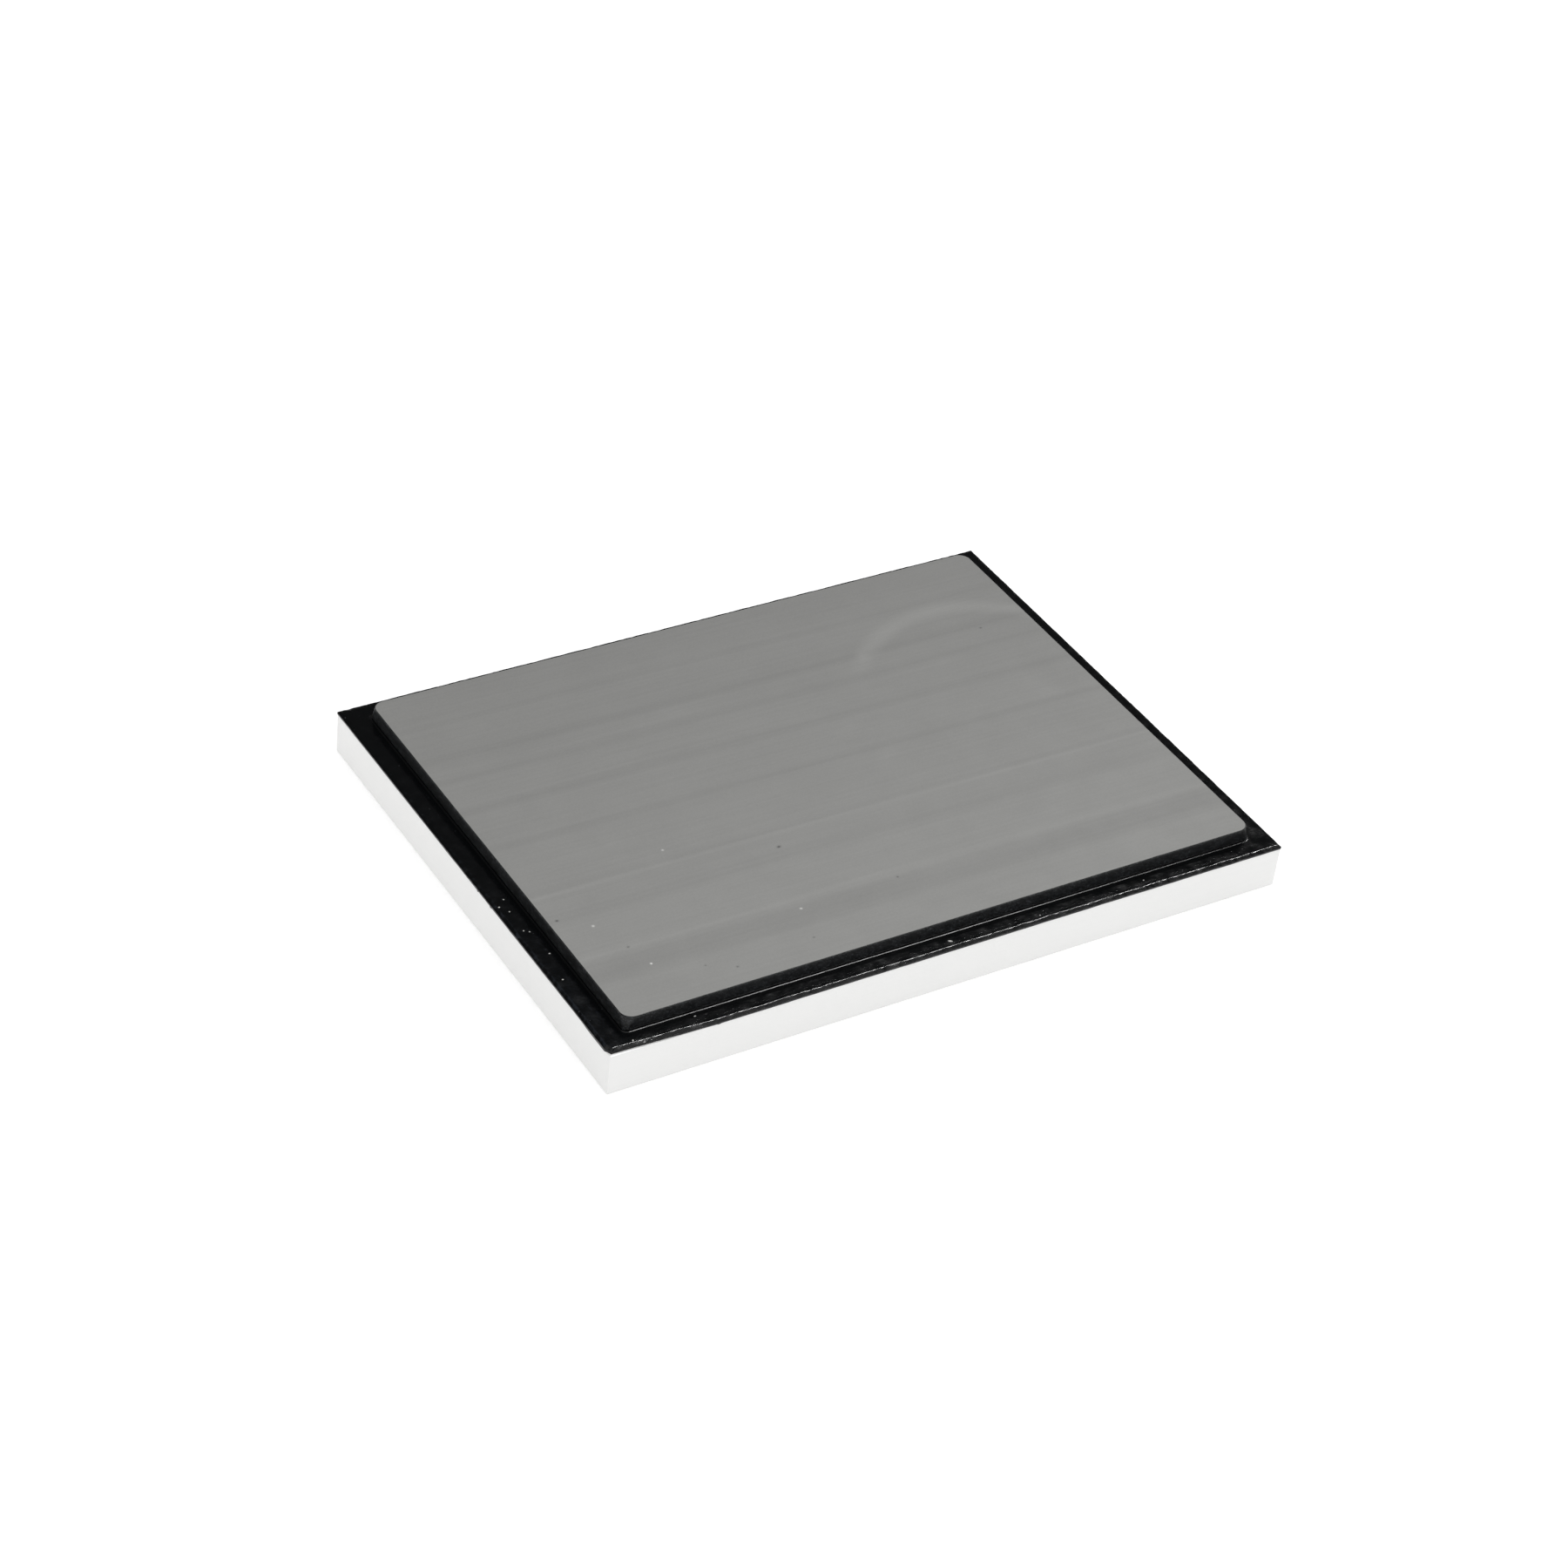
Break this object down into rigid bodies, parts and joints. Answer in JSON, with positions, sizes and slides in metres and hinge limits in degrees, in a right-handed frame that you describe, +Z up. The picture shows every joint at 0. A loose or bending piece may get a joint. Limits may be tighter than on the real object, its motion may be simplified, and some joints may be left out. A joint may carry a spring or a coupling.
{
  "type": "granite tooling slab",
  "caption": "Layered leatherworking slab: ground granite plate on a glossy black bed over a white base board.",
  "frame": {"origin": "centre of the underside of the base board, on the surface that the slab rests on", "axes": "+X along the long side, +Y towards the back long side, +Z up out of the work face"},
  "size_m": [0.3048, 0.2286, 0.0254],
  "materials": {
    "white_board": "satin",
    "adhesive": "matte",
    "black_bed": "gloss",
    "granite": "matte",
    "sealant": "gloss"
  },
  "bodies": {
    "root": {"base_board": "white_board", "bed_adhesive_film": "adhesive", "black_bed": "black_bed", "plate_adhesive_film": "adhesive", "granite_plate": "granite", "foot_bead": "sealant"}
  },
  "joints": []
}
